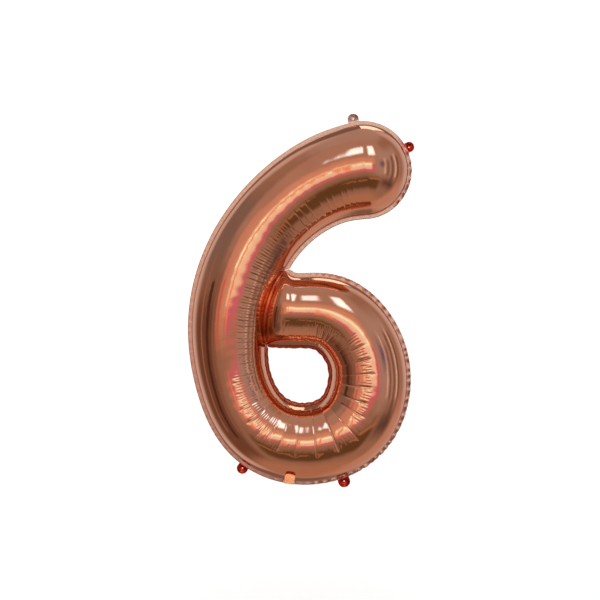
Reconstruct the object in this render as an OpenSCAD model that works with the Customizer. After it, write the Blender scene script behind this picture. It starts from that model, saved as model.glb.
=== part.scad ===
// Foil number balloon, figure 6, inflated and hung by the ear at the top of the figure.
// Frame: X to the right, Z up, the front of the figure towards -Y, the weld between the two
// sheets in the plane Y = 0, the origin below the figure's middle at the foot of its margin.
// The figure is one stroke: it starts at the round tip of the hook, runs down the left side,
// round the bowl, and ends in a valley where the bowl grows out of the stem.

/* [Figure] */
// Height over the welded margin
figure_h = 864; // [780:1:1000]
// Width over the welded margin
figure_w = 532; // [490:1:620]
// Width of the stroke between its welds, on the left side
stroke_w = 184; // [160:1:196]
// Depth of the inflated stroke, as a share of its width
puff = 0.95; // [0.75:0.01:1.05]
// Half depth of the valley where the bowl grows out of the stem
valley_d = 34; // [24:1:42]
// How far the valley bows into the stem
valley_bow = 9; // [0:1:14]

/* [Film and weld] */
// Thickness of one film
film_t = 0.4; // [0.3:0.05:0.6]
// Width of the welded margin outside the bulge
margin_w = 9; // [6:0.5:11]
// How far the weld reaches under the rim of each sheet
weld_lap = 2; // [1.5:0.5:4]

/* [Hanging ears] */
// Width of an ear
ear_d = 23; // [20:0.5:28]
// How far an ear stands out from the fold
ear_reach = 17; // [15:0.5:22]
// Diameter of the eye in an ear
eye_d = 5; // [3:0.5:7]
// Gap at the fold between the margin and an ear or the tail
fold_gap = 0.8; // [0.6:0.1:1.2]

/* [Inflation tail and valve] */
// Width of the tail
tail_w = 24; // [18:1:30]
// Turn that the folded tail makes round the front of the bulge, in degrees
tail_wrap = 22; // [12:1:30]
// Gap between the folded tail and the front sheet
tail_clear = 2; // [1.5:0.25:4]
// Width of the valve films where they cross the weld
valve_w = 26; // [20:1:32]
// Width of the valve films at their inner end
valve_end_w = 18; // [10:1:20]
// Length of the valve films from the edge of the margin
valve_l = 130; // [80:5:140]
// Gap between the valve films and the ends of the weld
valve_gap = 0.2; // [0.1:0.05:0.5]

/* [Smoothness] */
// Columns of facets for each step of the stroke's centre line
cols = 6; // [4:1:6]
// Rows of facets across the stroke
rows = 16; // [12:2:16]

/* [Hidden] */

rose_gold = "#c98a74";
welded_gold = "#b97c68";
ear_red = "#a8412c";
valve_amber = "#f0a070";

// Guide points of the stroke's centre line: x, z, and the half width of the stroke there
// in percent of the stem's
guide = [
    [150, 750, 117], [70, 735, 109], [-32, 672, 101], [-110, 580, 99], [-154, 475, 102],
    [-172, 365, 98], [-162, 245, 87], [-107, 133, 96], [0, 90, 98], [120, 122, 100],
    [171, 220, 101], [162, 332, 95], [82, 420, 96], [-10, 412, 85], [-58, 422, 98]];
spans = len(guide) - 1;

// Places along the centre line, counted in guide points from the tip of the hook
valley_top = 3.23;     // upper end of the valley, at the notch under the hook
valley_foot = 5.27;    // lower end of the valley, at the counter
valley_reach = 0.75;   // length of the bowl's end that dips into the valley
left_foot_at = 7.23;
tail_at = 7.87;
right_foot_at = 8.6;
// Places round the tip of the hook, in degrees from its outer side
top_ear_at = 0;
tip_ear_at = 74;

half_w = stroke_w / 2;
weld_t = 2 * film_t;
tip_cols = 2 * cols;   // columns of facets round the tip of the hook
half_rows = rows / 2;
wall_dip = 1.5;        // depth of a wall at the valley's sharp bottom, in film thicknesses
arc_steps = 8;         // facets in the arc of the folded tail

// A cubic B-spline that starts and ends on the first and last guide points
function guides(kx, kz, dx, dz) = [for (g = guide) [kx*g[0] + dx, kz*g[1] + dz, half_w*g[2]/100]];
function ended(g) = concat([2*g[0] - g[1]], g, [2*g[spans] - g[spans - 1]]);
function weights(t) = [pow(1 - t, 3), 3*t*t*t - 6*t*t + 4, -3*t*t*t + 3*t*t + 3*t + 1, t*t*t] / 6;
function slopes(t) = [-pow(1 - t, 2), 3*t*t - 4*t, -3*t*t + 2*t + 1, t*t] / 2;
function mixed(line, u, mix) = let (i = min(floor(u), spans - 1), m = mix)
    m[0]*line[i] + m[1]*line[i + 1] + m[2]*line[i + 2] + m[3]*line[i + 3];
function part_of(u) = u - min(floor(u), spans - 1);
function centre(line, u) = mixed(line, u, weights(part_of(u)));
function heading(line, u) = let (d = mixed(line, u, slopes(part_of(u)))) [d[0], d[1]] / norm([d[0], d[1]]);
function outward(line, u) = let (t = heading(line, u)) [t[1], -t[0]];

// Box round the margin of a stroke: lowest x, highest x, lowest z, highest z
function margin_at(line, u) = let (c = centre(line, u))
    [c[0], c[1]] + outward(line, u) * (c[2] + margin_w);
function margin_box(line) = let (
    tip = line[1],
    tip_r = tip[2] + margin_w,
    edge = [for (k = [0 : spans * cols]) margin_at(line, k / cols)],
    xs = concat([tip[0] + tip_r], [for (p = edge) p[0]]),
    zs = concat([tip[1] + tip_r], [for (p = edge) p[1]])
) [min(xs), max(xs), min(zs), max(zs)];

// The guide points are spread until the figure has its size. The stroke keeps its own width.
plain_line = ended(guides(1, 1, 0, 0));
plain_box = margin_box(plain_line);
centre_xs = [for (k = [0 : spans * cols]) centre(plain_line, k / cols)[0]];
centre_zs = [for (k = [0 : spans * cols]) centre(plain_line, k / cols)[1]];
spread_x = 1 + (figure_w - plain_box[1] + plain_box[0]) / (max(centre_xs) - min(centre_xs));
spread_z = 1 + (figure_h - plain_box[3] + plain_box[2]) / (max(centre_zs) - min(centre_zs));
spread_box = margin_box(ended(guides(spread_x, spread_z, 0, 0)));
stroke = ended(guides(spread_x, spread_z, -(spread_box[0] + spread_box[1]) / 2, -spread_box[2]));

// How deep in the valley a place on the stem lies: 0 at its ends and beyond, 1 at its middle
function in_valley(u) = let (s = (2*u - valley_top - valley_foot) / (valley_foot - valley_top))
    max(0, 1 - s*s);
// A sheet's place at u along the stroke and v across it, from -1 on the outer weld to 1 on the
// inner one: x, z, and the height over the weld. Inset 0 is the sheet's outside, film_t its inside.
function across(u, v, inset) = let (
    c = centre(stroke, u),
    dip = in_valley(u),
    side = v > 0 ? valley_bow*dip + inset*(1 - sqrt(dip)) : inset
) [c[0], c[1]] - outward(stroke, u) * (c[2] - side) * v;
function valley_line(v, inset) = across(valley_top + (valley_foot - valley_top)*(v + 1)/2, 1, inset);
function skin(u, v, inset) = let (
    h = puff*centre(stroke, u)[2] - inset,
    bottom = max(0, valley_d*sqrt(in_valley(u)) - (in_valley(u) > 0 ? wall_dip*inset : 0)),
    t = max(0, (u - spans + valley_reach) / valley_reach),
    ease = t*t*(3 - 2*t),
    place = across(u, v, inset) + ease*(valley_line(v, inset) - across(spans, v, inset)),
    square = v > 0 && bottom > 0
        ? h*h*(1 - v*v) + bottom*bottom*v*v
        : (1 - v*v) * (h*h*(1 - t*t) + pow((valley_d - wall_dip*inset)*t, 2))
) [place[0], place[1], sqrt(max(0, square))];
// The same round the tip of the hook, at a turn from its outer side
function tip_skin(turn, v, inset) = let (
    c = centre(stroke, 0),
    out = outward(stroke, 0),
    dir = cos(turn)*out - sin(turn)*heading(stroke, 0),
    place = [c[0], c[1]] - dir*(c[2] - inset)*v
) [place[0], place[1], (puff*c[2] - inset) * sqrt(1 - v*v)];

// Columns along the stroke. Those in the valley are where the rows of the bowl's end arrive.
row_at = [for (j = [0 : rows]) -cos(180*j/rows)];
stem_cols = [for (k = [0 : spans*cols]) if (k/cols < valley_top - 0.4/cols) k/cols];
valley_cols = [for (v = row_at) valley_top + (valley_foot - valley_top)*(v + 1)/2];
bowl_cols = [for (k = [0 : spans*cols - 1]) if (k/cols > valley_foot + 0.4/cols) k/cols];
col_at = concat(stem_cols, valley_cols, bowl_cols);
top_col = len(stem_cols);
foot_col = top_col + rows;
end_col = len(col_at);   // the bowl's last column is the bottom of the valley

function skin_points(inset) = concat(
    [for (u = col_at) for (v = row_at) skin(u, v, inset)],
    [for (a = [1 : tip_cols - 1]) for (j = [0 : half_rows - 1]) tip_skin(180*a/tip_cols, row_at[j], inset)]);
function id(i, j) = i == end_col ? id(top_col + j, rows) : i*(rows + 1) + j;
function tip_id(a, j) = a == 0 || j == half_rows ? id(0, j)
    : a == tip_cols ? id(0, rows - j)
    : end_col*(rows + 1) + (a - 1)*half_rows + j;
skin_faces = concat(
    [for (i = [0 : end_col - 1]) for (j = [0 : rows - 1])
        each [[id(i, j), id(i, j + 1), id(i + 1, j + 1)], [id(i, j), id(i + 1, j + 1), id(i + 1, j)]]],
    [for (a = [0 : tip_cols - 1]) for (j = [0 : half_rows - 1])
        [tip_id(a, j), tip_id(a + 1, j), tip_id(a + 1, j + 1)]],
    [for (a = [0 : tip_cols - 1]) for (j = [0 : half_rows - 2])
        [tip_id(a, j), tip_id(a + 1, j + 1), tip_id(a, j + 1)]]);
// The two weld lines, as loops of point numbers with the sheet on their left
outer_loop = concat(
    [for (a = [tip_cols : -1 : 1]) tip_id(a, 0)],
    [for (i = [0 : end_col]) id(i, 0)],
    [for (i = [top_col - 1 : -1 : 1]) id(i, rows)]);
counter_loop = concat([for (i = [end_col - 1 : -1 : foot_col]) id(i, rows)]);

module sheet() {
    outside = skin_points(0);
    inside = skin_points(film_t);
    n = len(outside);
    points = [for (p = concat(outside, inside)) [p[0], -film_t - p[2], p[1]]];
    rims = [for (loop = [outer_loop, counter_loop]) for (k = [0 : len(loop) - 1])
        let (a = loop[k], b = loop[(k + 1) % len(loop)]) each [[a, b, b + n], [a, b + n, a + n]]];
    polyhedron(points, concat(skin_faces, [for (f = skin_faces) [f[2] + n, f[1] + n, f[0] + n]], rims));
}

module front_sheet() color(rose_gold) sheet();
module back_sheet() color(rose_gold) mirror([0, 1, 0]) sheet();

// A weld is a flat band that follows a weld line
function weld_line(loop) = let (points = skin_points(0)) [for (k = loop) [points[k][0], points[k][1]]];
module band(inner, outer, loop) {
    difference() {
        offset(delta = outer) polygon(weld_line(loop));
        offset(delta = inner) polygon(weld_line(loop));
    }
}
module flat(t) rotate([90, 0, 0]) linear_extrude(t, center = true) children();

// A place on the stroke's outer side: its centre's x and z, the way out in degrees, its half width
function side_place(u) = let (c = centre(stroke, u), out = outward(stroke, u))
    [c[0], c[1], atan2(out[1], out[0]), c[2]];
function tip_place(turn) = side_place(0) - [0, 0, turn, 0];
// X runs outwards from the stroke's centre and Z along its side
module at(place) translate([place[0], 0, place[1]]) rotate([0, -place[2], 0]) children();

module outer_weld() color(welded_gold) flat(weld_t) difference() {
    band(-weld_lap, margin_w, outer_loop);
    p = side_place(tail_at);
    gap_w = valve_w + 2*valve_gap;
    translate([p[0], p[1]]) rotate(p[2]) translate([p[3] - 2*weld_lap, -gap_w/2])
        square([margin_w + 3*weld_lap, gap_w]);
}
module counter_weld() color(welded_gold) flat(weld_t) band(-margin_w, weld_lap, counter_loop);

module ear(place) color(ear_red) at(place) translate([place[3] + margin_w + fold_gap, 0, 0])
    flat(weld_t) difference() {
        eye_x = ear_reach - ear_d/2;
        intersection() {
            union() {
                translate([eye_x, 0]) circle(d = ear_d, $fn = 64);
                translate([0, -ear_d/2]) square([eye_x, ear_d]);
            }
            translate([0, -ear_d]) square([ear_reach, 2*ear_d]);
        }
        translate([eye_x, 0]) circle(d = eye_d, $fn = 48);
    }
module top_hanging_ear() ear(tip_place(top_ear_at));
module tip_hanging_ear() ear(tip_place(tip_ear_at));
module left_foot_ear() ear(side_place(left_foot_at));
module right_foot_ear() ear(side_place(right_foot_at));

// The folded tail leaves the margin straight, tangent to a circle that clears the bulge, and
// then follows that circle. Low and high are its two faces, measured from its middle.
module tail_film(low, high) {
    place = side_place(tail_at);
    wrap_r = place[3] + tail_clear + film_t;
    fold_r = place[3] + margin_w + fold_gap;
    lean = acos(wrap_r / fold_r);
    face = function (k) concat(
        [[fold_r, 0] + k*[cos(lean), sin(lean)]],
        [for (a = [0 : arc_steps]) let (t = lean + tail_wrap*a/arc_steps) (wrap_r + k)*[cos(t), sin(t)]]);
    back_way = face(low);
    at(place) rotate([180, 0, 0]) linear_extrude(tail_w, center = true)
        polygon(concat(face(high), [for (k = [len(back_way) - 1 : -1 : 0]) back_way[k]]));
}
module tail_front_film() color(valve_amber) tail_film(0, film_t);
module tail_back_film() color(valve_amber) tail_film(-film_t, 0);

module valve_film(y) {
    place = side_place(tail_at);
    at(place) translate([place[3] + margin_w, y, 0]) flat(film_t) polygon([
        [0, valve_w/2], [-margin_w - weld_lap, valve_w/2], [-valve_l, valve_end_w/2],
        [-valve_l, -valve_end_w/2], [-margin_w - weld_lap, -valve_w/2], [0, -valve_w/2]]);
}
module valve_front_film() color(valve_amber) valve_film(-film_t/2);
module valve_back_film() color(valve_amber) valve_film(film_t/2);

front_sheet();
back_sheet();
outer_weld();
counter_weld();
top_hanging_ear();
tip_hanging_ear();
left_foot_ear();
right_foot_ear();
tail_front_film();
tail_back_film();
valve_front_film();
valve_back_film();
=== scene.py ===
# Foil number balloon, figure 6: foil, welds, ears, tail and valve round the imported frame.
# One stroke from the hook's tip to the valley. Along the stroke is u, counted in guide points,
# and across it is v: -1 on the outer weld, 1 on the inner one.
import math
import bpy
import numpy as np
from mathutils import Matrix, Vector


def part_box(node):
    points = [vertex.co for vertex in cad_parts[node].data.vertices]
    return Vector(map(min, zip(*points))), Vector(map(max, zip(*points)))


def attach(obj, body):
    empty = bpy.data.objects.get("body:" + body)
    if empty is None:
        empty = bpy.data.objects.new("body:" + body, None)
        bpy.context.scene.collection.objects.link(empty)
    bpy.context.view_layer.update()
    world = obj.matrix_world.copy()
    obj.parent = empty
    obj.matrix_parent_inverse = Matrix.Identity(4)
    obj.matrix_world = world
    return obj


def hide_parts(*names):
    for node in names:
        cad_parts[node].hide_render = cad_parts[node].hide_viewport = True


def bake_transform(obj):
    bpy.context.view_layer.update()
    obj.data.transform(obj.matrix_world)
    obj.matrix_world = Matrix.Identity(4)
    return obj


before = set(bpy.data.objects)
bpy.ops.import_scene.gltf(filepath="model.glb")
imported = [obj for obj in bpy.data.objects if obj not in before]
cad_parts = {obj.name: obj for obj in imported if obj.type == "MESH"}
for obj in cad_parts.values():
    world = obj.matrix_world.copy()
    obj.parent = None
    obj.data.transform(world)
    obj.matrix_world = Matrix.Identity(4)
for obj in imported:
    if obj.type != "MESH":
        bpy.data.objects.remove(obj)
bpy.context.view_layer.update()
mm = 0.001

stroke = {
    "guide": [(150, 750, 117), (70, 735, 109), (-32, 672, 101), (-110, 580, 99), (-154, 475, 102),
              (-172, 365, 98), (-162, 245, 87), (-107, 133, 96), (0, 90, 98), (120, 122, 100),
              (171, 220, 101), (162, 332, 95), (82, 420, 96), (-10, 412, 85), (-58, 422, 98)],
    "halfWidth": 92 * mm,      # of the stem; the guide's third number is a percentage of it
    "puff": 0.95,              # height of the bulge over the weld, as a share of the half width
    "margin": 9 * mm,
    "film": 0.4 * mm,
    "valleyTop": 3.23,         # u of the valley's upper and lower ends on the stem
    "valleyFoot": 5.27,
    "valleyReach": 0.75,       # guide points over which the bowl's end dips into the valley
    "valleyDepth": 34 * mm,
    "valleyBow": 9 * mm,
    "tailAt": 7.87,
    "leftFootAt": 7.23,
    "rightFootAt": 8.6,
}
lastU = len(stroke["guide"]) - 1


def splineAt(points, u):
    u = np.atleast_1d(np.asarray(u, float))
    ended = np.vstack([2 * points[0] - points[1], points, 2 * points[-1] - points[-2]])
    i = np.clip(np.floor(u).astype(int), 0, lastU - 1)
    t = (u - i)[:, None]
    weight = [(1 - t)**3, 3*t**3 - 6*t**2 + 4, -3*t**3 + 3*t**2 + 3*t + 1, t**3]
    slope = [-(1 - t)**2, 3*t**2 - 4*t, -3*t**2 + 2*t + 1, t**2]
    place = sum(weight[k] * ended[i + k] for k in range(4)) / 6
    heading = sum(slope[k] * ended[i + k] for k in range(4))[:, :2] / 2
    heading /= np.linalg.norm(heading, axis=1)[:, None]
    return place, heading


def rightOf(heading):
    return np.stack([heading[:, 1], -heading[:, 0]], 1)


def marginBox(points):
    place, heading = splineAt(points, np.linspace(0, lastU, 400))
    edge = place[:, :2] + rightOf(heading) * (place[:, 2:] + stroke["margin"])
    tip = points[0, :2] + points[0, 2] + stroke["margin"]
    both = np.vstack([edge, tip])
    return both.min(0), both.max(0), place[:, :2].max(0) - place[:, :2].min(0)


def fittedGuide():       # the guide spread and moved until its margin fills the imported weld's box
    low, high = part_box("outer_weld")
    low, high = np.array([low.x, low.z]), np.array([high.x, high.z])
    points = np.array(stroke["guide"], float) * [mm, mm, stroke["halfWidth"] / 100]
    lo, hi, span = marginBox(points)
    points[:, :2] *= 1 + ((high - low) - (hi - lo)) / span
    lo, hi, span = marginBox(points)
    points[:, :2] += (low + high - lo - hi) / 2
    return points


guide = fittedGuide()


def inValley(u):
    s = (2*u - stroke["valleyTop"] - stroke["valleyFoot"]) / (stroke["valleyFoot"] - stroke["valleyTop"])
    return np.maximum(0, 1 - s*s)


def acrossAt(u, v):      # x and z on the weld's plane, for a grid of u by v
    place, heading = splineAt(guide, u)
    side = np.where(v[None, :] > 0, stroke["valleyBow"] * inValley(u)[:, None], 0)
    reach = (place[:, 2:] - side) * v[None, :]
    return place[:, None, :2] - rightOf(heading)[:, None, :] * reach[..., None]


def skinAt(u, v):        # x, z and height over the weld, for a grid of u by v
    half = splineAt(guide, u)[0][:, 2:]
    height = stroke["puff"] * half
    depth = stroke["valleyDepth"]
    bottom = depth * np.sqrt(inValley(u))[:, None]
    t = np.maximum(0, (u - lastU + stroke["valleyReach"]) / stroke["valleyReach"])[:, None]
    ease = t*t*(3 - 2*t)
    row = v[None, :]
    valleyU = stroke["valleyTop"] + (stroke["valleyFoot"] - stroke["valleyTop"]) * (v + 1) / 2
    valley = np.array([acrossAt(np.array([a]), np.array([1.0]))[0, 0] for a in valleyU])
    end = acrossAt(np.array([float(lastU)]), v)[0]
    place = acrossAt(u, v) + ease[..., None] * (valley - end)[None]
    dipped = height**2 * (1 - row**2) + bottom**2 * row**2
    plain = (1 - row**2) * (height**2 * (1 - t*t) + (depth * t)**2)
    square = np.where((row > 0) & (bottom > 0), dipped, plain)
    return np.concatenate([place, np.sqrt(np.maximum(square, 0))[..., None]], 2)


def tipAt(turn, v):      # the same round the hook's tip, turn in radians from its outer side
    place, heading = splineAt(guide, 0)
    c, w, out = place[0, :2], place[0, 2], rightOf(heading)[0]
    way = np.cos(turn)[:, None] * out - np.sin(turn)[:, None] * heading[0]
    spot = c - way[:, None, :] * (w * v)[None, :, None]
    high = np.broadcast_to(stroke["puff"] * w * np.sqrt(1 - v*v), spot.shape[:2])
    return np.concatenate([spot, high[..., None]], 2)


def meshFrom(name, points, faces):
    mesh = bpy.data.meshes.new(name)
    points = np.asarray(points, np.float32)
    mesh.vertices.add(len(points))
    mesh.vertices.foreach_set("co", points.ravel())
    mesh.loops.add(faces.size)
    mesh.loops.foreach_set("vertex_index", faces.ravel().astype(np.int32))
    mesh.polygons.add(len(faces))
    mesh.polygons.foreach_set("loop_start", np.arange(0, faces.size, faces.shape[1], dtype=np.int32))
    mesh.polygons.foreach_set("use_smooth", np.ones(len(faces), bool))
    mesh.update(calc_edges=True)
    mesh.validate()
    piece = bpy.data.objects.new(name, mesh)
    bpy.context.scene.collection.objects.link(piece)
    return piece


def gridNormals(grid):
    along, over = np.gradient(grid, axis=0), np.gradient(grid, axis=1)
    normal = np.cross(along, over)
    return normal / np.maximum(np.linalg.norm(normal, axis=2), 1e-12)[..., None]


def filmFrom(name, grid, thickness, closed=False):
    # a thin film whose middle is the grid: two faces and a rim. Closed joins its last column to its first.
    n, m = grid.shape[:2]
    wide = np.concatenate([grid[:, -1:], grid, grid[:, :1]], 1) if closed else grid
    normal = gridNormals(wide)
    normal = normal[:, 1:-1] if closed else normal
    half = np.broadcast_to(np.asarray(thickness) / 2, (n, m))[..., None]
    points = np.concatenate([(grid + normal * half).reshape(-1, 3), (grid - normal * half).reshape(-1, 3)])
    i, j = np.meshgrid(np.arange(n - 1), np.arange(m if closed else m - 1), indexing="ij")
    a, b = i * m + j, i * m + (j + 1) % m
    c, d = b + m, a + m
    top = np.stack([a, b, c, d], 2).reshape(-1, 4)
    rims = [np.arange(m), np.arange(m) + (n - 1) * m]
    if not closed:
        rims += [np.arange(n) * m, np.arange(n) * m + m - 1]
    sides = []
    for k, rim in enumerate(rims):
        p, q = (rim, np.roll(rim, -1)) if closed else (rim[:-1], rim[1:])
        side = np.stack([q, p, p + n*m, q + n*m], 1)
        sides.append(side if k in (0, 3) else side[:, ::-1])
    faces = np.vstack([top, top[:, ::-1] + n*m] + sides)
    return meshFrom(name, points, faces)


def smooth(x, a, b):     # 0 at a, 1 at b
    t = np.clip((x - a) / (b - a), 0, 1)
    return t*t*(3 - 2*t)


def wave(length, spacing, seed, wander=0.45):   # peaks and dips about a spacing apart, -1 to 1
    own = np.random.default_rng(seed)
    count = int(3 * length.max() / spacing) + 20
    knots = np.cumsum(spacing * (1 + wander * own.uniform(-1, 1, count))) - spacing * 8
    high = own.uniform(0.35, 1, count) * np.where(np.arange(count) % 2, 1, -1)
    i = np.clip(np.searchsorted(knots, length) - 1, 0, count - 2)
    t = (length - knots[i]) / (knots[i + 1] - knots[i])
    t = t*t*(3 - 2*t)
    return high[i] * (1 - t) + high[i + 1] * t


# The two sheets
sheet = {
    "fineStep": 1.28 * mm, "plainStep": 2.3 * mm,   # column spacing along the finer and plainer stretches
    "plainUntil": 1.6,                              # u where the finer columns start
    "rows": 80,
    "tipColumns": 110,
    "wobble": [(95 * mm, 0.16 * mm), (26 * mm, 0.03 * mm)],   # wavelength and height of the film's slack
    "waves": 14, "waveSum": 3.7,                    # random waves in each, and what so many add up to
    "calmFrom": 0.97, "railFrom": 0.992,            # v where slack and creases die away next to a weld
    "tipFade": 30 * mm,
    "endFade": (0.5, 0.02),                         # u before the bowl's end where creases die away
    "leastStretch": 0.45,                           # share of the depth left where the film is gathered most
}

# Creases run across the stroke. Each zone: u from and to, gap and half width in mm, depth in mm, v where
# it starts and ends, and how much the gap, the start and the end wander. Gaps are given, and the
# finest creases are drawn a little coarser than real so that they show.
creaseZones = [
    dict(u=(0.25, 2.4), gap=22, width=4.5, depth=0.32, v=(0.3, 0.86), wander=(0.35, 0.08, 0.06), sharp=1.2),
    dict(u=(2.2, 3.1), gap=8, width=6, depth=0.30, v=(0.26, 0.72), wander=(0.2, 0.05, 0.08)),
    dict(u=(3.0, 6.0), gap=7.6, width=6.2, depth=0.52, v=(0.23, 0.68), wander=(0.10, 0.02, 0.05)),
    dict(u=(3.1, 6.4), gap=15.2, width=7, depth=0.30, v=(0.22, 0.93), wander=(0.3, 0.04, 0.05)),
    dict(u=(5.8, 7.35), gap=6.6, width=5.6, depth=0.48, v=(0.02, 0.58), wander=(0.14, 0.05, 0.08)),
    dict(u=(6.3, 7.3), gap=26, width=10, depth=0.8, v=(-0.12, 0.97), wander=(0.3, 0.10, 0.04), sharp=0.6),
    dict(u=(7.25, 9.4), gap=42, width=19, depth=1.5, v=(-0.30, 0.97), wander=(0.16, 0.06, 0.03), sharp=0.6),
    dict(u=(7.0, 9.4), gap=6.0, width=4.6, depth=0.18, v=(-0.24, 0.0), wander=(0.3, 0.04, 0.10)),
    dict(u=(9.3, 11.2), gap=32, width=9, depth=0.75, v=(-0.10, 0.97), wander=(0.3, 0.08, 0.03), sharp=0.8),
    dict(u=(9.3, 11.4), gap=6.8, width=5.6, depth=0.42, v=(-0.04, 0.26), wander=(0.2, 0.04, 0.10)),
    dict(u=(11.1, 13.6), gap=7.4, width=6.0, depth=0.50, v=(0.26, 0.74), wander=(0.14, 0.04, 0.06)),
    dict(u=(11.1, 13.5), gap=24, width=10, depth=0.7, v=(0.45, 0.97), wander=(0.35, 0.12, 0.03), sharp=0.6),
]
# Short creases that run in from the welds: u from and to, gap, half width, depth, and reach in mm.
rimZones = [
    dict(u=(0.0, 5.5), side=-1, gap=17, width=9, depth=0.8, reach=17),
    dict(u=(5.5, 13.6), side=-1, gap=15, width=9, depth=1.5, reach=24),
    dict(u=(0.0, 2.6), side=1, gap=14, width=8, depth=1.0, reach=20),
    dict(u=(5.6, 13.2), side=1, gap=10, width=6.5, depth=0.9, reach=30),
]

crease = {
    "fade": 2.5, "least": 0.35,     # gaps over which a zone fades at its ends, and the share left there
    "depths": (0.6, 1.15),          # the least and most of a zone's depth and width
    "widths": (0.85, 1.2),
    "skew": 0.12, "bend": 0.10,     # slant and bend, as shares of the width
    "waves": 7, "phase": 900,
    "start": 0.11, "finish": 0.10,  # v over which a crease deepens and dies away
    "groove": 2.2 * mm,             # half width of the sharp line along its bottom
    "sharp": 0.35,                  # that line's share of the depth, where a zone gives no other
    "reach": 1.6,
}
rim = {"depths": (0.4, 1.2), "widths": (0.7, 1.2), "reaches": (0.5, 1.3), "gaps": (0.6, 1.4), "rise": 0.15}


def columnsAlong():
    u = np.linspace(0, lastU, 6001)
    place = splineAt(guide, u)[0][:, :2]
    length = np.concatenate([[0], np.cumsum(np.linalg.norm(np.diff(place, axis=0), axis=1))])
    step = np.where(u < sheet["plainUntil"], sheet["plainStep"], sheet["fineStep"])
    count = np.concatenate([[0], np.cumsum(np.diff(length) / step[1:])])
    n = int(round(count[-1]))
    at = np.interp(np.linspace(0, count[-1], n + 1), count, u)
    return at, np.interp(at, u, length), lambda a: np.interp(a, u, length)


def creaseField(v, seed):
    own = np.random.default_rng(seed)
    field = np.zeros((len(columnU), len(v)))
    for zone in creaseZones:
        start, stop = lengthAt(zone["u"][0]), lengthAt(zone["u"][1])
        gap = zone["gap"] * mm
        gapWander, startWander, endWander = zone["wander"]
        at = start + own.uniform(0, zone["gap"]) * mm
        while at < stop:
            near = min(at - start, stop - at) / (crease["fade"] * gap)
            depth = zone["depth"] * mm * own.uniform(*crease["depths"]) * min(1, crease["least"] + near)
            width = zone["width"] * mm * own.uniform(*crease["widths"])
            v0 = zone["v"][0] + startWander * own.uniform(-1, 1)
            v1 = zone["v"][1] + endWander * own.uniform(-1, 1)
            skew = own.uniform(-1, 1) * crease["skew"] * width
            bend = own.uniform(-1, 1) * crease["bend"] * width
            cols = np.where(np.abs(columnLength - at) < width * crease["reach"])[0]
            shown = smooth(v, v0, v0 + crease["start"]) * (1 - smooth(v, v1 - crease["finish"], v1))
            mid = (v - v0) / max(v1 - v0, crease["finish"])
            centre = at + skew * mid + bend * np.sin(crease["waves"] * mid + at * crease["phase"])
            away = np.abs(columnLength[cols][:, None] - centre[None, :])
            pillow = np.maximum(0, 1 - away / width)**2
            groove = zone.get("sharp", crease["sharp"]) * np.maximum(0, 1 - away / crease["groove"])
            field[cols] -= depth * shown[None, :] * (pillow + groove)
            at += gap * (1 + gapWander * own.uniform(-1, 1))
    return field


def rimField(v, half, seed):
    own = np.random.default_rng(seed)
    field = np.zeros((len(columnU), len(v)))
    for zone in rimZones:
        start, stop = lengthAt(zone["u"][0]), lengthAt(zone["u"][1])
        fromRim = np.arccos(np.clip(v * zone["side"], -1, 1)) * half
        at = start + own.uniform(0, zone["gap"]) * mm
        while at < stop:
            depth = zone["depth"] * mm * own.uniform(*rim["depths"])
            width = zone["width"] * mm * own.uniform(*rim["widths"])
            reach = zone["reach"] * mm * own.uniform(*rim["reaches"])
            cols = np.where(np.abs(columnLength - at) < width)[0]
            shown = (1 - smooth(fromRim, 0, reach)) * smooth(fromRim, 0, rim["rise"] * reach)
            near = np.maximum(0, 1 - np.abs(columnLength[cols] - at) / width)**2
            field[cols] -= depth * near[:, None] * shown[None, :]
            at += zone["gap"] * mm * own.uniform(*rim["gaps"])
    return field


def slackField(length, across, seed):      # gentle waves of film that isn't quite tight
    own = np.random.default_rng(seed)
    total = np.zeros((len(length), len(across)))
    for wavelength, height in sheet["wobble"]:
        for _ in range(sheet["waves"]):
            turn = own.uniform(-0.5, 0.5)
            k = 2 * math.pi / (wavelength * own.uniform(0.75, 1.5))
            phase = own.uniform(0, 2 * math.pi)
            way = length[:, None] * math.cos(turn) + across[None, :] * math.sin(turn)
            total += height / sheet["waveSum"] * np.sin(k * way + phase)
    return total


columnU, columnLength, lengthAt = columnsAlong()
rowV = -np.cos(np.linspace(0, math.pi, sheet["rows"] + 1))
rowV[sheet["rows"] // 2] = 0
tipTurn = np.linspace(0, math.pi, sheet["tipColumns"] + 1)[1:-1]
tipV = rowV[:sheet["rows"] // 2]
halfRows = sheet["rows"] // 2
railColumns = np.where((columnU > stroke["valleyTop"]) & (columnU < stroke["valleyFoot"]))[0]
topColumn, footColumn = railColumns[0] - 1, railColumns[-1] + 1


def creasedGrid(side, seed):     # the skin with creases and slack; side is -1 for the front, 1 the back
    grid = skinAt(columnU, rowV)
    stretch = np.linalg.norm(np.gradient(grid[..., :2], axis=0), axis=2)
    stretch /= np.gradient(columnLength)[:, None]
    half = float(np.mean(guide[:, 2]))
    field = creaseField(rowV, seed) * np.clip(stretch, sheet["leastStretch"], 1)
    field += rimField(rowV, half, seed + 1)
    calm = 1 - smooth(np.abs(rowV), sheet["calmFrom"], 1)
    tipFade = smooth(columnLength, 0, sheet["tipFade"])
    field += slackField(columnLength, rowV * half, seed + 2) * calm[None, :] * tipFade[:, None]
    early, late = sheet["endFade"]
    field *= (1 - smooth(columnU, lastU - early, lastU - late))[:, None]
    field *= (1 - smooth(np.abs(rowV), sheet["railFrom"], 1))[None, :]
    plain = np.stack([grid[..., 0], side * (stroke["film"] + grid[..., 2]), grid[..., 1]], 2)
    return plain - side * gridNormals(plain) * field[..., None]


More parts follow.
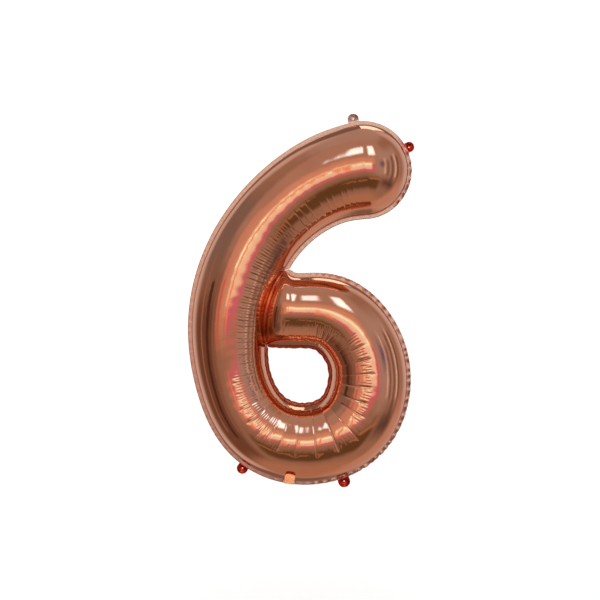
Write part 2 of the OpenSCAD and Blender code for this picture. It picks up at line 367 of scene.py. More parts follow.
def valleyStrip(at, last):       # the triangles that join the bowl's end to the stem along the valley
    span = stroke["valleyFoot"] - stroke["valleyTop"]
    bowl = [(rowV[j], at(last, j)) for j in range(len(rowV))]
    rail = [(-1.0, at(topColumn, len(rowV) - 1))]
    for i in railColumns:
        down = (2*columnU[i] - stroke["valleyTop"] - stroke["valleyFoot"]) / span
        rail.append((float(down), at(i, len(rowV) - 1)))
    rail.append((1.0, at(footColumn, len(rowV) - 1)))
    strip = []
    b = r = 0
    while b < len(bowl) - 1 or r < len(rail) - 1:
        nextBowl = bowl[b + 1][0] if b < len(bowl) - 1 else math.inf
        nextRail = rail[r + 1][0] if r < len(rail) - 1 else math.inf
        if nextBowl <= nextRail:
            strip.append((bowl[b][1], bowl[b + 1][1], rail[r][1]))
            b += 1
        else:
            strip.append((bowl[b][1], rail[r + 1][1], rail[r][1]))
            r += 1
    return np.array(strip)


def sheetMesh(name, side, seed):
    points = creasedGrid(side, seed)
    loops, rows = points.shape[:2]
    tip = tipAt(tipTurn, tipV)
    tip = np.stack([tip[..., 0], side * (stroke["film"] + tip[..., 2]), tip[..., 1]], 2)
    allPoints = np.concatenate([points.reshape(-1, 3), tip.reshape(-1, 3)])
    last = loops - 2             # the last column is the valley's bottom, already on the stem's rail

    def at(i, j):
        return i * rows + j

    def tipIndex(a, j):
        inner = np.where(a == 0, at(0, j), np.where(
            a == sheet["tipColumns"], at(0, rows - 1 - j), loops * rows + (a - 1) * halfRows + j))
        return np.where(j == halfRows, at(0, halfRows), inner)
    i, j = np.meshgrid(np.arange(last), np.arange(rows - 1), indexing="ij")
    quads = np.stack([at(i, j), at(i, j + 1), at(i + 1, j + 1), at(i + 1, j)], 2).reshape(-1, 4)
    a, j = np.meshgrid(np.arange(sheet["tipColumns"]), np.arange(halfRows), indexing="ij")
    a, j = a.ravel(), j.ravel()
    p, q, r, s = tipIndex(a, j), tipIndex(a + 1, j), tipIndex(a + 1, j + 1), tipIndex(a, j + 1)
    outside = j < halfRows - 1   # the tip's columns meet in one point at its middle
    faces = np.vstack([quads[:, [0, 1, 2]], quads[:, [0, 2, 3]], np.stack([p, q, r], 1),
                       np.stack([p, r, s], 1)[outside], valleyStrip(at, last)])
    if side > 0:
        faces = faces[:, ::-1]
    used = np.unique(faces)
    renumber = np.full(len(allPoints), -1)
    renumber[used] = np.arange(len(used))
    return meshFrom(name, allPoints[used], renumber[faces])


frontSheet = sheetMesh("frontFoil", -1, 11)
backSheet = sheetMesh("backFoil", 1, 47)
print("sheets:", len(columnU), "columns,", len(frontSheet.data.polygons), "faces each")

# The welded margins
margin = {
    "step": 1.6 * mm,
    "thickness": 0.5 * mm,
    "lap": 2 * mm,              # how far the weld reaches under the bulge
    "ruffle": 20 * mm,          # length of one ruffle
    "tilt": (1.5, 32),          # degrees, on the stem and low on the bowl's right
    "counterTilt": 7,
    "lean": -50,                # degrees that the counter's margin leans towards the front
    "curl": 0.6,                # power by which the tilt grows across the margin
    "scallop": 0.8 * mm,
    "counterScallop": 0.2,
    "scallopStep": 9 * mm,
    "shares": (0.2, 0.4, 0.6, 0.8, 1.0),     # rows across the margin
    # where the margin is loose, in metres: from and to across, from and to up
    "bowlAcross": (0.0, 0.12), "bowlUp": (0.30, 0.15), "bowlTop": 0.55,
    "tipAcross": (0.20, 0.24), "tipUp": (0.78, 0.84), "tipShare": 0.7,
    "betweenThem": 0.55,
}


def loopPoints(outer):     # evenly spaced points along a weld, and how far along each one is
    if outer:
        turns = np.linspace(math.pi, 0, 230)[:-1]
        along = np.linspace(0, lastU, 1500)
        back = np.linspace(stroke["valleyTop"], 0, 420)[1:-1]
        line = np.vstack([tipAt(turns, np.array([-1.0]))[:, 0, :2],
                          skinAt(along, np.array([-1.0]))[:, 0, :2],
                          skinAt(back, np.array([1.0]))[:, 0, :2]])
    else:
        line = skinAt(np.linspace(lastU, stroke["valleyFoot"], 1100), np.array([1.0]))[:-1, 0, :2]
    closed = np.vstack([line, line[:1]])
    length = np.concatenate([[0], np.cumsum(np.linalg.norm(np.diff(closed, axis=0), axis=1))])
    at = np.linspace(0, length[-1], int(length[-1] / margin["step"]) + 1)[:-1]
    return np.stack([np.interp(at, length, closed[:, k]) for k in range(2)], 1), at


def outwardOf(line):
    tangent = np.roll(line, -2, 0) - np.roll(line, 2, 0)
    tangent /= np.linalg.norm(tangent, axis=1)[:, None]
    return np.stack([tangent[:, 1], -tangent[:, 0]], 1)


def roomFor(line, out, reach):   # how far the margin can go before it meets the loop's other side
    room = np.full(len(line), reach)
    for r in (0.25, 0.5, 0.75, 1.0):
        spot = line + out * reach * r
        gap = np.linalg.norm(spot[:, None] - line[None], axis=2).min(1)
        room = np.where((gap < 0.93 * reach * r) & (room >= reach), reach * (r - 0.2), room)
    kernel = np.ones(5) / 5
    wide = np.concatenate([room[-2:], room, room[:2]])
    return np.minimum(room, np.convolve(wide, kernel, "valid"))


def snapEnds(line, centre, width):   # moves the points next to the gap onto its two ends
    away = np.linalg.norm(line - centre, axis=1)
    outside = np.where((away > width / 2) & (away < width / 2 + 3 * margin["step"]))[0]
    left, right = (outside[(line[outside, 0] - centre[0]) * side > 0] for side in (-1, 1))
    for group in (left, right):
        i = group[np.argmin(away[group])]
        line[i] = centre + (line[i] - centre) * (1.001 * width / 2 / away[i])


def looseness(line):           # 0 where the margin lies flat, 1 where it is ruffled most
    across, up = line[:, 0], line[:, 1]
    top = margin["bowlTop"]
    onBowl = smooth(across, *margin["bowlAcross"]) * (top + (1 - top) * smooth(up, *margin["bowlUp"]))
    onTip = margin["tipShare"] * smooth(across, *margin["tipAcross"]) * (1 - smooth(up, *margin["tipUp"]))
    return np.where(up < margin["betweenThem"], onBowl, onTip)


def marginBand(name, outer, seed, skip=None):
    line, at = loopPoints(outer)
    if skip is not None:
        snapEnds(line, *skip)
    out = outwardOf(line)
    room = roomFor(line, out, stroke["margin"])
    least, most = margin["tilt"]
    loose = looseness(line) if outer else margin["counterScallop"]
    tilt = least + (most - least) * loose if outer else margin["counterTilt"]
    angle = np.radians(tilt) * wave(at, margin["ruffle"] / 2, seed)
    angle += 0 if outer else math.radians(margin["lean"])
    angle *= room / stroke["margin"]
    wide = room - margin["scallop"] * loose * (0.5 + 0.5 * wave(at, margin["scallopStep"], seed + 1))
    rows = [np.stack([spot[:, 0], np.zeros(len(line)), spot[:, 1]], 1)
            for spot in (line - out * margin["lap"], line)]
    for share in margin["shares"]:
        lean = angle * share**margin["curl"]
        spot = line + out * (wide * share * np.cos(lean))[:, None]
        rows.append(np.stack([spot[:, 0], wide * share * np.sin(lean), spot[:, 1]], 1))
    grid = np.stack(rows)
    if skip is None:
        return filmFrom(name, grid, margin["thickness"], closed=True)
    centre, width = skip
    away = np.linalg.norm(line - centre, axis=1)
    first = int(np.argmin(away))
    order = (np.arange(len(line)) + first) % len(line)
    return filmFrom(name, grid[:, order[away[order] >= width / 2]], margin["thickness"])


def sidePlace(u):        # centre, way out and half width at a place on the stroke's outer side
    place, heading = splineAt(guide, u)
    return place[0, :2], rightOf(heading)[0], place[0, 2]


def tipPlace(degrees):     # the same at an angle round the hook's tip
    centre, out, half = sidePlace(0)
    c, s = math.cos(math.radians(degrees)), math.sin(math.radians(degrees))
    return centre, np.array([c * out[0] + s * out[1], c * out[1] - s * out[0]]), half


valve = {
    "width": 26.6 * mm, "endWidth": 18 * mm, "length": 130 * mm,
    "gap": 26.8 * mm,           # in the margin, where the valve and tail leave
    "thickness": 0.25 * mm, "apart": 0.4 * mm, "rows": 70, "columns": 15,
    "flat": 2 * mm,             # how far the films stay flat inside the weld
    "waves": 3, "waveHeights": (0.4, 1.0), "waveTurns": (40, 130), "waveFade": 30 * mm,
    "crinkle": 0.25 * mm, "crinkleFade": 10 * mm,
}
tailCentre, tailOut, tailHalf = sidePlace(stroke["tailAt"])
tailEdge = tailCentre + tailOut * tailHalf
outerMargin = marginBand("outerMargin", True, 5, skip=(tailEdge, valve["gap"]))
counterMargin = marginBand("counterMargin", False, 9)
print("margins:", len(outerMargin.data.polygons), "and", len(counterMargin.data.polygons), "faces")


def localFrame(place, out):
    # turns x along the way out, y towards the back and z along the side into the shared frame
    o = np.array([out[0], 0, out[1]])
    s = np.array([-out[1], 0, out[0]])
    centre = np.array([place[0], 0, place[1]])
    return lambda x, y, z: (centre + np.multiply.outer(x, o) + np.multiply.outer(y, [0, 1, 0])
                            + np.multiply.outer(z, s))


# The hanging ears
ear = {
    "width": 23 * mm, "reach": 17 * mm, "eye": 2.8 * mm, "gap": 0.8 * mm,
    "overlap": 1.6 * mm,        # how far the ear's film runs on over the margin
    "thickness": 0.4 * mm, "bead": 0.8 * mm, "beadFrom": (0.90, 0.97),
    "columns": 96, "rows": 22,
    "flat": 6 * mm,             # where it leaves the margin
    "cupShare": 0.8, "cupLong": 0.6,
    "folds": (3, 5, 8, 13), "foldHeights": (0.15, 0.4),
    # for each ear: cup in mm, curl of the rim, seed, and how far it is stretched
    "cups": {"topEar": (6.0, 1.7, 3, 1.12), "tipEar": (7.5, 1.0, 4, 1.06),
             "leftFootEar": (8.0, 1.3, 5, 1.12), "rightFootEar": (8.5, 1.5, 6, 1.22)},
}


def earPiece(name, spot):
    centre, out, half = spot
    cup, curl, seed, stretched = ear["cups"][name]
    own = np.random.default_rng(seed)
    toFrame = localFrame(centre, out)
    foldX = half + stroke["margin"] + ear["gap"]
    radius = ear["width"] / 2 * stretched
    eyeX = ear["reach"] * stretched - radius
    angle = np.linspace(-math.pi, math.pi, ear["columns"] + 1)[:-1]
    c, s = np.cos(angle), np.sin(angle)
    root = (eyeX + ear["gap"] + ear["overlap"]) / np.maximum(-c, 1e-6)
    outline = np.where(c < 0, np.minimum(root, radius / np.maximum(np.abs(s), 1e-6)), radius)
    share = np.linspace(0, 1, ear["rows"])[:, None]
    r = ear["eye"] / 2 + (outline - ear["eye"] / 2)[None, :] * share
    x, z = eyeX + r * c, r * s
    bend = smooth(x, 0, ear["flat"])
    bowl = 1 - (x - eyeX)**2 / radius**2 * ear["cupLong"] - z**2 / radius**2
    folds = sum(own.uniform(*ear["foldHeights"]) * np.sin(k * angle + own.uniform(0, 6))
                for k in ear["folds"])
    y = cup * mm * bowl * bend * ear["cupShare"] + curl * mm * folds[None, :] * share**3 * bend
    bead = (ear["bead"] - ear["thickness"]) * smooth(share, *ear["beadFrom"])
    piece = filmFrom(name, toFrame(foldX + x, y, z), ear["thickness"] + bead * bend, closed=True)
    return piece, toFrame(np.array(foldX - ear["gap"]), 0.0, 0.0), toFrame(np.array(foldX), 0.0, 0.0)


earPlaces = {
    "topEar": ("top_ear", "top_hanging_ear", tipPlace(0)),
    "tipEar": ("tip_ear", "tip_hanging_ear", tipPlace(74)),
    "leftFootEar": ("left_ear", "left_foot_ear", sidePlace(stroke["leftFootAt"])),
    "rightFootEar": ("right_ear", "right_foot_ear", sidePlace(stroke["rightFootAt"])),
}
ears = {}
for name, (body, node, spot) in earPlaces.items():
    ears[name] = earPiece(name, spot)
print("ears:", len(ears))


# The inflation tail and the valve behind it
tail = {
    "width": 24 * mm, "wrap": 22, "clear": 2 * mm, "gap": 0.8 * mm,
    "thickness": 0.3 * mm, "rows": 60, "columns": 33,
    "root": 2.3 * mm,           # how far it starts inside the fold
    "open": 1.6 * mm,           # how far the two films part at the mouth
    "corner": 9 * mm,           # radius of the mouth's corners
    "waist": 0.03,              # how much narrower it is at its middle
    "crinkles": 6, "crinkleHeights": (0.1, 0.25), "crinkleTurns": (200, 900), "crinkleFade": 12 * mm,
}


def tailLine(t):    # x and y of the tail's middle at t from the fold, and the way away from the bulge
    wrapR = tailHalf + tail["clear"] + stroke["film"]
    foldR = tailHalf + stroke["margin"] + tail["gap"]
    lean = math.acos(wrapR / foldR)
    straight = math.sqrt(foldR**2 - wrapR**2)
    turn = lean + np.maximum(t - straight, 0) / wrapR
    onLine = t <= straight
    x = np.where(onLine, foldR - np.maximum(t, 0) * math.sin(lean) + np.minimum(t, 0), wrapR * np.cos(turn))
    y = np.where(onLine, np.maximum(t, 0) * math.cos(lean), wrapR * np.sin(turn))
    away = np.where(t < 0, 0, np.cos(turn)), np.where(t < 0, 1, np.sin(turn))
    return x, y, away


def tailPiece(name, layer):
    # layer is 1 for the film away from the bulge and -1 for the one next to it
    own = np.random.default_rng(21)
    toFrame = localFrame(tailCentre, tailOut)
    wrapR = tailHalf + tail["clear"] + stroke["film"]
    foldR = tailHalf + stroke["margin"] + tail["gap"]
    total = math.sqrt(foldR**2 - wrapR**2) + wrapR * math.radians(tail["wrap"])
    t = np.linspace(-tail["root"], total, tail["rows"])
    side = np.linspace(-1, 1, tail["columns"])[None, :]
    x, y, away = tailLine(t)
    cut = np.clip((np.abs(side) - 1) * tail["width"] / 2 / tail["corner"] + 1, 0, 1)
    back = (1 - np.sqrt(1 - cut**2)) * tail["corner"] * smooth(t, total - 2 * tail["corner"], total)[:, None]
    bulge = tail["open"] * smooth(t, 0.1 * total, total)[:, None] * (1 - side**2)**0.8
    crinkle = 0
    for _ in range(tail["crinkles"]):
        height = own.uniform(*tail["crinkleHeights"]) * mm
        along = own.uniform(*tail["crinkleTurns"]) * t[:, None]
        crinkle = crinkle + height * np.sin(along + own.uniform(-6, 6) * side + own.uniform(0, 6))
    crinkle = crinkle * smooth(t, 0, tail["crinkleFade"])[:, None] * (1 - 0.3 * side**2)
    lift = layer * (tail["thickness"] / 2 + bulge / 2) + crinkle
    wide = tail["width"] / 2 * side * (1 - tail["waist"] * np.sin(3.1 * t / total))[:, None]
    px = x[:, None] + away[0][:, None] * lift - np.gradient(x, t)[:, None] * back
    py = y[:, None] + away[1][:, None] * lift - np.gradient(y, t)[:, None] * back
    grid = toFrame(px, -py, wide + 0 * px)
    return filmFrom(name, grid, tail["thickness"]), toFrame(np.array(foldR), 0.0, 0.0)


tailFront, tailFold = tailPiece("tailFrontFilm", 1)
tailBack = tailPiece("tailBackFilm", -1)[0]


def valvePiece(name, side):
    own = np.random.default_rng(31)
    toFrame = localFrame(tailCentre, tailOut)
    t = np.linspace(0, valve["length"], valve["rows"])[:, None]
    x = tailHalf + stroke["margin"] - t
    inward = stroke["margin"] + valve["flat"]
    width = np.interp(t, [0, inward, valve["length"]], [valve["width"], valve["width"], valve["endWidth"]])
    z = width / 2 * np.linspace(-1, 1, valve["columns"])[None, :]
    sway = 0
    for _ in range(valve["waves"]):
        height = own.uniform(*valve["waveHeights"]) * mm
        sway = sway + height * np.sin(own.uniform(*valve["waveTurns"]) * x + own.uniform(0, 6))
    inside = t - inward
    crinkle = valve["crinkle"] * np.sin(700 * z + 90 * x) * smooth(inside, -inward, valve["crinkleFade"])
    y = side * valve["apart"] / 2 + sway * smooth(inside, 0, valve["waveFade"]) + crinkle
    return filmFrom(name, toFrame(x + 0 * z, y, z), valve["thickness"])


valveFront = valvePiece("valveFrontFilm", -1)
valveBack = valvePiece("valveBackFilm", 1)
print("tail and valve made")


def linear(hexColour):
    parts = [int(hexColour[i:i + 2], 16) / 255 for i in (1, 3, 5)]
    return [c / 12.92 if c <= 0.04045 else ((c + 0.055) / 1.055)**2.4 for c in parts] + [1]


def addNode(tree, kind, inputs=None, **settings):
    node = tree.nodes.new(kind)
    for key, value in settings.items():
        setattr(node, key, value)
    for key, value in (inputs or {}).items():
        if isinstance(value, bpy.types.NodeSocket):
            tree.links.new(value, node.inputs[key])
        else:
            node.inputs[key].default_value = value
    return node


def newMaterial(name):
    material = bpy.data.materials.new(name)
    material.use_nodes = True
    tree = material.node_tree
    tree.nodes.clear()
    output = addNode(tree, "ShaderNodeOutputMaterial")
    spot = addNode(tree, "ShaderNodeTexCoord").outputs["Object"]
    return material, tree, output, spot


foil = {"colour": "#e9a27e", "deep": "#dd9270", "roughness": (0.035, 0.085),
        "patch": 60 * mm, "grain": 5 * mm, "fine": 2.2 * mm}


def metallisedNylonFoil():
    # Metallised nylon and polyethylene film, rolled and lacquered rose gold: a mirror, with faint grain
    # from the roll and a slightly uneven lacquer. The grain is drawn coarser than real so that it shows.
    material, tree, output, spot = newMaterial("metallisedNylonFoil")
    patches = addNode(tree, "ShaderNodeTexNoise", {"Vector": spot, "Scale": 1 / foil["patch"], "Detail": 3.0})
    lacquer = addNode(tree, "ShaderNodeMix", {
        "Factor": patches.outputs["Fac"], "A": linear(foil["colour"]), "B": linear(foil["deep"])},
        data_type="RGBA")
    grain = addNode(tree, "ShaderNodeTexNoise", {
        "Vector": spot, "Scale": 1 / foil["grain"], "Detail": 4.0, "Roughness": 0.6})
    fine = addNode(tree, "ShaderNodeTexNoise", {"Vector": spot, "Scale": 1 / foil["fine"], "Detail": 2.0})
    grainBump = addNode(tree, "ShaderNodeBump", {
        "Height": grain.outputs["Fac"], "Strength": 0.05, "Distance": 1 * mm})
    fineBump = addNode(tree, "ShaderNodeBump", {
        "Height": fine.outputs["Fac"], "Strength": 0.025, "Distance": 1 * mm,
        "Normal": grainBump.outputs["Normal"]})
    low, high = foil["roughness"]
    dullness = addNode(tree, "ShaderNodeMapRange", {
        "Value": grain.outputs["Fac"], "From Min": 0.3, "From Max": 0.7, "To Min": low, "To Max": high})
    shader = addNode(tree, "ShaderNodeBsdfPrincipled", {
        "Base Color": lacquer.outputs[2], "Metallic": 1.0, "Roughness": dullness.outputs["Result"],
        "Normal": fineBump.outputs["Normal"]})
    tree.links.new(shader.outputs[0], output.inputs["Surface"])
    return material


seal = {"bright": "#e2a58a", "deep": "#d39a84", "roughness": (0.24, 0.36), "rib": 1.6 * mm, "melt": 4 * mm}


def heatSealedMargin():
    # Two films melted together under a hot ribbed bar: duller than the bulge, with the bar's ribs. The
    # wave below spreads them to about 4.5 mm apart on the weld, coarser than real so that they show.
    material, tree, output, spot = newMaterial("heatSealedMargin")
    ribs = addNode(tree, "ShaderNodeTexWave", {
        "Vector": spot, "Scale": 0.5 / seal["rib"] / 3.14, "Distortion": 1.2},
        wave_type="BANDS", bands_direction="DIAGONAL")
    melt = addNode(tree, "ShaderNodeTexNoise", {"Vector": spot, "Scale": 1 / seal["melt"], "Detail": 4.0})
    ribBump = addNode(tree, "ShaderNodeBump", {
        "Height": ribs.outputs["Fac"], "Strength": 0.08, "Distance": 0.3 * mm})
    meltBump = addNode(tree, "ShaderNodeBump", {
        "Height": melt.outputs["Fac"], "Strength": 0.12, "Distance": 0.8 * mm,
        "Normal": ribBump.outputs["Normal"]})
    tint = addNode(tree, "ShaderNodeMix", {
        "Factor": melt.outputs["Fac"], "A": linear(seal["bright"]), "B": linear(seal["deep"])},
        data_type="RGBA")
    low, high = seal["roughness"]
    dullness = addNode(tree, "ShaderNodeMapRange", {
        "Value": melt.outputs["Fac"], "From Min": 0.3, "From Max": 0.7, "To Min": low, "To Max": high})
    shader = addNode(tree, "ShaderNodeBsdfPrincipled", {
        "Base Color": tint.outputs[2], "Metallic": 1.0, "Roughness": dullness.outputs["Result"],
        "Normal": meltBump.outputs["Normal"]})
    tree.links.new(shader.outputs[0], output.inputs["Surface"])
    return material


# Bright and deep colour for each ear; the deep one is painted shade for the dips. The red pair is painted light:
# the red glow of light bounced round inside a curled ear of the rose gold foil, painted on as colour.
earFoil = {"pale": ("#f0c6b4", "#d49a88"), "paintedRedGlow": ("#ea4526", "#a81d14"), "roughness": (0.12, 0.26),
           "facet": 5 * mm, "melt": 3 * mm}


def weldedEarFoilWithPaintedDipShade(name, bright, deep):
    # Both films welded into one limp flap and crumpled when it was cut: small facets, and painted shade:
    # a deeper colour where the surface dips, from the same noise that dips it.
    material, tree, output, spot = newMaterial(name)
    crumple = addNode(tree, "ShaderNodeTexVoronoi", {"Vector": spot, "Scale": 1 / earFoil["facet"]},
                      feature="SMOOTH_F1")
    melt = addNode(tree, "ShaderNodeTexNoise", {"Vector": spot, "Scale": 1 / earFoil["melt"], "Detail": 4.0})
    facetBump = addNode(tree, "ShaderNodeBump", {
        "Height": crumple.outputs["Distance"], "Strength": 0.35, "Distance": 1.5 * mm})
    meltBump = addNode(tree, "ShaderNodeBump", {
        "Height": melt.outputs["Fac"], "Strength": 0.3, "Distance": 0.5 * mm,
        "Normal": facetBump.outputs["Normal"]})
    # painted shade: where the noise is low the bump dips, and there the tint goes to the deep colour
    share = addNode(tree, "ShaderNodeMapRange", {
        "Value": melt.outputs["Fac"], "From Min": 0.35, "From Max": 0.65})
    tint = addNode(tree, "ShaderNodeMix", {
        "Factor": share.outputs["Result"], "A": linear(deep), "B": linear(bright)}, data_type="RGBA")
    low, high = earFoil["roughness"]
    dullness = addNode(tree, "ShaderNodeMapRange", {
        "Value": melt.outputs["Fac"], "From Min": 0.3, "From Max": 0.7, "To Min": low, "To Max": high})
    shader = addNode(tree, "ShaderNodeBsdfPrincipled", {
        "Base Color": tint.outputs[2], "Metallic": 1.0, "Roughness": dullness.outputs["Result"],
        "Normal": meltBump.outputs["Normal"]})
    tree.links.new(shader.outputs[0], output.inputs["Surface"])
    return material


film = {"tail": ("#ffb27c", "#fb8b4e", 0.28), "valve": ("#d98a55", "#b8683c", 0.3), "roughnessSpan": 0.06,
        "cloud": 6 * mm, "crease": 7 * mm}


def printedPolyethyleneFilm(name, bright, deep, roughness):
    # Thin blown polyethylene, tinted orange: a soft waxy gloss, a cloudy tint and fine creases.
    material, tree, output, spot = newMaterial(name)
    cloud = addNode(tree, "ShaderNodeTexNoise", {"Vector": spot, "Scale": 1 / film["cloud"], "Detail": 5.0})
    creased = addNode(tree, "ShaderNodeTexVoronoi", {"Vector": spot, "Scale": 1 / film["crease"]},
                      feature="DISTANCE_TO_EDGE")
    share = addNode(tree, "ShaderNodeMapRange", {
        "Value": cloud.outputs["Fac"], "From Min": 0.35, "From Max": 0.65})
    tint = addNode(tree, "ShaderNodeMix", {
        "Factor": share.outputs["Result"], "A": linear(deep), "B": linear(bright)}, data_type="RGBA")
    bump = addNode(tree, "ShaderNodeBump", {
        "Height": creased.outputs["Distance"], "Strength": 0.3, "Distance": 1 * mm})
    dullness = addNode(tree, "ShaderNodeMapRange", {
        "Value": cloud.outputs["Fac"], "From Min": 0.3, "From Max": 0.7,
        "To Min": roughness - film["roughnessSpan"], "To Max": roughness + film["roughnessSpan"]})
    shader = addNode(tree, "ShaderNodeBsdfPrincipled", {
        "Base Color": tint.outputs[2], "Roughness": dullness.outputs["Result"], "IOR": 1.51,
        "Coat Weight": 0.2, "Coat Roughness": 0.1, "Normal": bump.outputs["Normal"]})
    tree.links.new(shader.outputs[0], output.inputs["Surface"])
    return material


foilMaterial = metallisedNylonFoil()
marginMaterial = heatSealedMargin()
topEarMaterial = weldedEarFoilWithPaintedDipShade("weldedEarFoilPale", *earFoil["pale"])
# painted red glow of light bounced inside the curled ears, painted onto them as colour
paintedRedGlowEarMaterial = weldedEarFoilWithPaintedDipShade("weldedEarFoilPaintedRedGlow", *earFoil["paintedRedGlow"])
tailMaterial = printedPolyethyleneFilm("tintedPolyethyleneTail", *film["tail"])
valveMaterial = printedPolyethyleneFilm("tintedPolyethyleneValve", *film["valve"])


def dress(piece, material, slotName, body, *nodes):
    piece.data.materials.append(material)
    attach(piece, body)
    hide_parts(*nodes)


dress(frontSheet, foilMaterial, "rose_gold_foil", "envelope", "front_sheet")
dress(backSheet, foilMaterial, "rose_gold_foil", "envelope", "back_sheet")
dress(outerMargin, marginMaterial, "welded_margin", "envelope", "outer_weld")
dress(counterMargin, marginMaterial, "welded_margin", "envelope", "counter_weld")
dress(valveFront, valveMaterial, "valve_film", "envelope", "valve_front_film")
dress(valveBack, valveMaterial, "valve_film", "envelope", "valve_back_film")
for name, (body, node, spot) in earPlaces.items():
    piece, start, end = ears[name]
    # the three lower ears get the painted red glow of light bounced inside them
    piece.data.materials.append(topEarMaterial if name == "topEar" else paintedRedGlowEarMaterial)
    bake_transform(piece)
    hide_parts(node)
for piece, node in ((tailFront, "tail_front_film"), (tailBack, "tail_back_film")):
    piece.data.materials.append(tailMaterial)
    start = tuple(tailFold)
    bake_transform(piece)
    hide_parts(node)
print("materials and bodies set")

studio = {
    "base": "#a69d97", "floor": "#fdfdfc", "floorSpeck": "#fbfbfb",
    "floorHalf": 40, "floorDrop": 0.35, "white": 1.12,
    # soft cards and flags round the balloon: azimuth (0 faces the front, + to the right), elevation,
    # half width, half height and softness in degrees, colour, strength
    "cards": [
        (180, 10, 62, 75, 26, "#dadde3", 1.0),      # pale wall behind
        (-180, 10, 62, 75, 26, "#dadde3", 1.0),
        (180, 2, 33, 62, 12, "#85776f", 1.0),       # darker doorway in it, with a bright, a dim and a dark strip
        (-180, 2, 33, 62, 12, "#85776f", 1.0),
        (-172, 8, 4, 22, 3, "#eef2f6", 1.2),
        (168, -4, 9, 26, 8, "#b9aaa2", 1.0),
        (150, 4, 2, 30, 3, "#5f524c", 1.0),
        (-88, 30, 34, 14, 14, "#8b8e94", 1.0),      # dim wall at the upper left
        (-78, -24, 36, 36, 26, "#7a675e", 1.0),     # dark flag at the left, with a few stands before it
        (-66, -12, 5, 26, 3, "#55443d", 1.0),
        (-48, -8, 3, 22, 2, "#94847e", 1.0),
        (-88, -6, 3, 30, 2, "#a3928b", 1.0),
        (0, 78, 190, 16, 16, "#b9bec8", 1.0),       # ceiling
        (0, 46, 56, 24, 22, "#bcb4b4", 1.0),
        (64, 12, 36, 28, 22, "#bcc0ca", 1.0),       # right side, with tall lit and dark strips
        (53, 6, 1.5, 16, 6, "#f0ffff", 1.1),
        (62, 2, 3, 16, 8, "#8d7d78", 1.0),
        (76, -4, 4, 30, 7, "#8a7d79", 1.0),
        (86, 8, 1.5, 20, 6, "#f0ffff", 1.2),
        (94, -4, 4, 30, 6, "#86756f", 1.0),
        (84, -29, 34, 7, 22, "#625c60", 1.0),        # dark flags low in front and at the right
        (8, -35, 36, 14, 14, "#6c6148", 1.0),
        (30, -24, 16, 2, 2, "#b79a80", 1.0),
        (-12, -30, 14, 2, 2, "#ab8f74", 1.0),
        (0, -80, 190, 18, 18, "#bda99b", 1.0),
        (128, -42, 34, 28, 24, "#cfbfb8", 1.0),     # light thrown back by the floor
        (-28, 10, 11, 16, 9, "#dcc3c0", 1.0),
        (-33, 0, 3, 10, 4, "#e8948a", 0.9),
        (1, 9, 26, 16, 13, "#e6cfc2", 1.0),         # a warm glow in front, with pink and white strips in it
        (7, 0.5, 20.5, 8.5, 3, "#e89ccc", 0.9),
        (2, 5.5, 18, 8, 5, "#e8f6f2", 1.4),
        (1, 8.5, 17, 2.0, 3.5, "#c8ffff", 2.3),
        (4, 4.2, 16, 0.6, 1, "#c8ffff", 1.7),
        (-9, 2, 2, 9, 3, "#ffc8a0", 1.1),
        (46, 10, 6, 6, 12, "#7a84c4", 0.9),
        (-11, 43, 8, 8, 7, "#a8d6ff", 4.5),         # two softboxes over the camera
        (21, 42, 9, 11, 7, "#a8d6ff", 4.5),
        (172, 50, 20, 10, 6, "#ffffff", 2.0),       # softbox behind
    ],
}


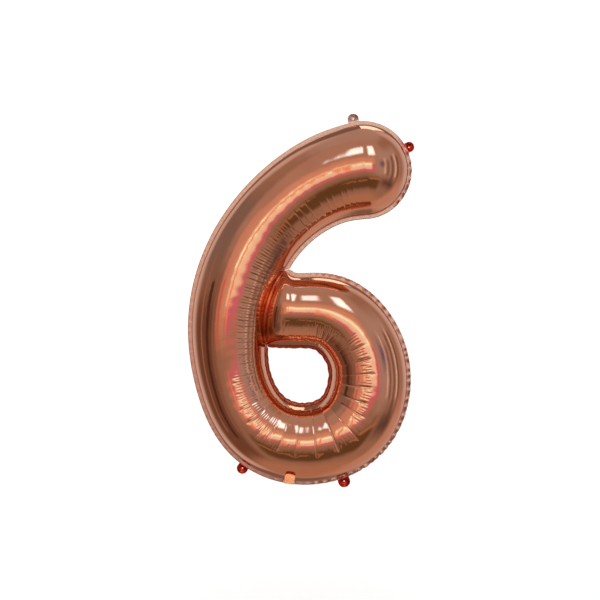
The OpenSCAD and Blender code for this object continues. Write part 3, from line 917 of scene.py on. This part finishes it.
def studioWorld():     # the cards are seen only in reflections; everything else sees an even white
    world = bpy.data.worlds.new("studio")
    bpy.context.scene.world = world
    world.use_nodes = True
    tree = world.node_tree
    tree.nodes.clear()
    output = addNode(tree, "ShaderNodeOutputWorld")
    way = addNode(tree, "ShaderNodeTexCoord").outputs["Generated"]
    parts = addNode(tree, "ShaderNodeSeparateXYZ", {0: way}).outputs
    degree = 180 / math.pi
    toFront = addNode(tree, "ShaderNodeMath", {0: parts["Y"], 1: -1.0}, operation="MULTIPLY").outputs[0]
    turned = addNode(tree, "ShaderNodeMath", {0: parts["X"], 1: toFront}, operation="ARCTAN2").outputs[0]
    azimuth = addNode(tree, "ShaderNodeMath", {0: turned, 1: degree}, operation="MULTIPLY").outputs[0]
    raised = addNode(tree, "ShaderNodeMath", {0: parts["Z"]}, operation="ARCSINE").outputs[0]
    elevation = addNode(tree, "ShaderNodeMath", {0: raised, 1: degree}, operation="MULTIPLY").outputs[0]
    colour = linear(studio["base"])
    for az, el, halfAz, halfEl, soft, tint, strength in studio["cards"]:
        masks = {}
        for k, (angle, middle, half) in enumerate(((azimuth, az, halfAz), (elevation, el, halfEl))):
            offset = addNode(tree, "ShaderNodeMath", {0: angle, 1: float(middle)}, operation="SUBTRACT")
            away = addNode(tree, "ShaderNodeMath", {0: offset.outputs[0]}, operation="ABSOLUTE")
            masks[k] = addNode(tree, "ShaderNodeMapRange", {
                "Value": away.outputs[0], "From Min": half + soft / 2, "From Max": half - soft / 2},
                interpolation_type="SMOOTHSTEP").outputs["Result"]
        mask = addNode(tree, "ShaderNodeMath", masks, operation="MULTIPLY").outputs[0]
        shade = [c * strength for c in linear(tint)[:3]] + [1]
        colour = addNode(tree, "ShaderNodeMix", {"Factor": mask, "A": colour, "B": shade},
                         data_type="RGBA").outputs[2]
    glossy = addNode(tree, "ShaderNodeLightPath").outputs["Is Glossy Ray"]
    white = [studio["white"]] * 3 + [1]
    shown = addNode(tree, "ShaderNodeMix", {"Factor": glossy, "A": white, "B": colour}, data_type="RGBA")
    background = addNode(tree, "ShaderNodeBackground", {"Color": shown.outputs[2], "Strength": 1.0})
    tree.links.new(background.outputs[0], output.inputs["Surface"])


def paleFloor():
    # matt painted board, below the hanging balloon
    material, tree, output, spot = newMaterial("paintedFloorBoard")
    speck = addNode(tree, "ShaderNodeTexNoise", {"Vector": spot, "Scale": 1 / (25 * mm), "Detail": 3.0})
    tint = addNode(tree, "ShaderNodeMix", {
        "Factor": speck.outputs["Fac"], "A": linear(studio["floor"]), "B": linear(studio["floorSpeck"])},
        data_type="RGBA")
    shader = addNode(tree, "ShaderNodeBsdfPrincipled", {"Base Color": tint.outputs[2], "Roughness": 0.8})
    tree.links.new(shader.outputs[0], output.inputs["Surface"])
    half, z = studio["floorHalf"], -studio["floorDrop"]
    corners = [(-half, -half, z), (half, -half, z), (half, half, z), (-half, half, z)]
    floor = meshFrom("floor", corners, np.array([[0, 1, 2, 3]]))
    floor.data.materials.append(material)
    floor.visible_glossy = False


studioWorld()
paleFloor()

view = {"distance": 2.6, "height": 0.4388, "width": 1.425, "sensor": 36}
camera = bpy.data.cameras.new("camera")
cameraObject = bpy.data.objects.new("camera", camera)
bpy.context.scene.collection.objects.link(cameraObject)
cameraObject.location = (0, -view["distance"], view["height"])
cameraObject.rotation_euler = (math.pi / 2, 0, 0)
camera.sensor_width = view["sensor"]
camera.lens = view["sensor"] * view["distance"] / view["width"]
bpy.context.scene.camera = cameraObject
bpy.context.scene.view_settings.view_transform = "Standard"
bpy.context.scene.cycles.glossy_bounces = 8
bpy.context.scene.cycles.max_bounces = 10
